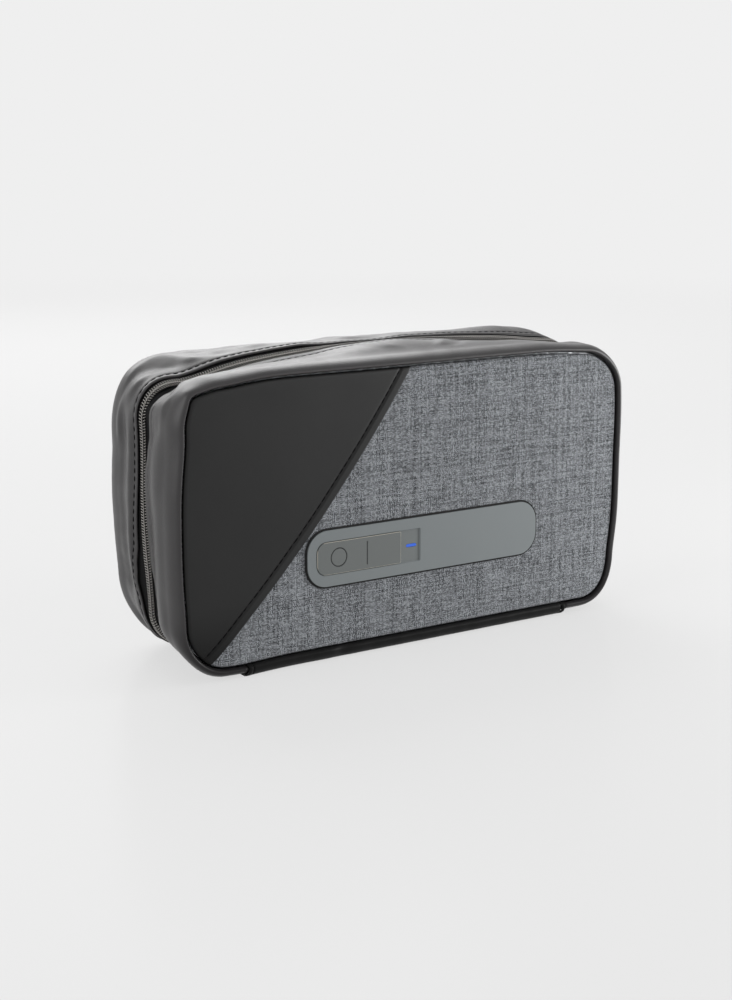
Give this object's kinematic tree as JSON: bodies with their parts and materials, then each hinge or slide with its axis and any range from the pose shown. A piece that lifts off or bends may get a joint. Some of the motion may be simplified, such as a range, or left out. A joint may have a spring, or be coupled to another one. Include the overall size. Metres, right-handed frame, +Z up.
{
  "type": "uv sterilizer pouch",
  "caption": "Zipped two-tray pouch with an ultraviolet lamp module in its front wall, a sliding power knob and a forward-opening lid.",
  "frame": {"origin": "middle of the pouch's base, on the surface that it stands on", "axes": "+X to the right along the front, -Y out of the front face, +Z up"},
  "size_m": [0.2254, 0.0644, 0.1235],
  "materials": {
    "melange_cloth": "woven melange",
    "coated_cloth": "semi-matte coating",
    "stiffener_board": "pressed board",
    "reflective_lining": "metallised",
    "zip_tape": "woven",
    "zip_coil": "nylon",
    "slider_metal": "gunmetal",
    "strip_plastic": "satin",
    "knob_plastic": "fine texture",
    "dark_rubber": "matte",
    "case_plastic": "satin",
    "light_pipe": "frosted",
    "circuit_laminate": "solder mask",
    "component_plastic": "moulded",
    "ceramic": "ceramic",
    "quartz": "polished",
    "steel": "plated",
    "cell_foil": "foil"
  },
  "bodies": {
    "rear_tray": {"rear_panel": "coated_cloth", "rear_board": "stiffener_board", "rear_lining": "reflective_lining", "rear_side_lining": "reflective_lining", "rear_gusset": "coated_cloth", "rear_zip_tape": "zip_tape", "rear_zip_coil": "zip_coil", "rear_stop_left": "slider_metal", "rear_stop_right": "slider_metal", "base_panel": "coated_cloth", "base_board": "stiffener_board", "base_lining": "reflective_lining", "left_end_tab": "coated_cloth", "right_end_tab": "coated_cloth"},
    "lid": {"front_fabric_panel": "melange_cloth", "front_corner_patch": "coated_cloth", "front_board": "stiffener_board", "lid_lining": "reflective_lining", "lid_side_lining": "reflective_lining", "front_gusset": "coated_cloth", "front_zip_tape": "zip_tape", "front_zip_coil": "zip_coil", "front_stop_left": "slider_metal", "front_stop_right": "slider_metal", "control_strip": "strip_plastic", "strip_gasket": "dark_rubber", "lamp_case": "case_plastic", "case_screw_1": "steel", "case_screw_2": "steel", "case_screw_3": "steel", "case_screw_4": "steel", "circuit_board": "circuit_laminate", "slide_switch": "component_plastic", "indicator_led": "ceramic", "indicator_lens": "light_pipe", "uv_led_1": "ceramic", "uv_led_2": "ceramic", "uv_led_3": "ceramic", "uv_window_1": "quartz", "uv_window_2": "quartz", "uv_window_3": "quartz", "lid_sensor": "component_plastic", "controller_chip": "component_plastic", "battery_cell": "cell_foil", "battery_pad": "dark_rubber", "charge_socket": "steel"},
    "knob": {"power_knob": "knob_plastic", "knob_clip": "component_plastic", "switch_lever": "component_plastic"},
    "zip_runner": {"zip_slider": "slider_metal"},
    "pull_tab": {"zip_pull": "slider_metal"}
  },
  "joints": [
    {"name": "lid_hinge", "type": "hinge", "parent": "rear_tray", "child": "lid", "pos_m": [0, -0.0305, 0.0055], "axis": [1, 0, 0], "range_deg": [0, 90]},
    {"name": "knob_slide", "type": "slide", "parent": "lid", "child": "knob", "axis": [1, 0, 0], "range_m": [0, 0.0096]},
    {"name": "zip_slide", "type": "slide", "parent": "rear_tray", "child": "zip_runner", "axis": [0, 0, 1], "range_m": [-0.011, 0.054]},
    {"name": "pull_swing", "type": "hinge", "parent": "zip_runner", "child": "pull_tab", "pos_m": [0.1114, 0, 0.0395], "axis": [0, -1, 0], "range_deg": [0, 170]}
  ]
}
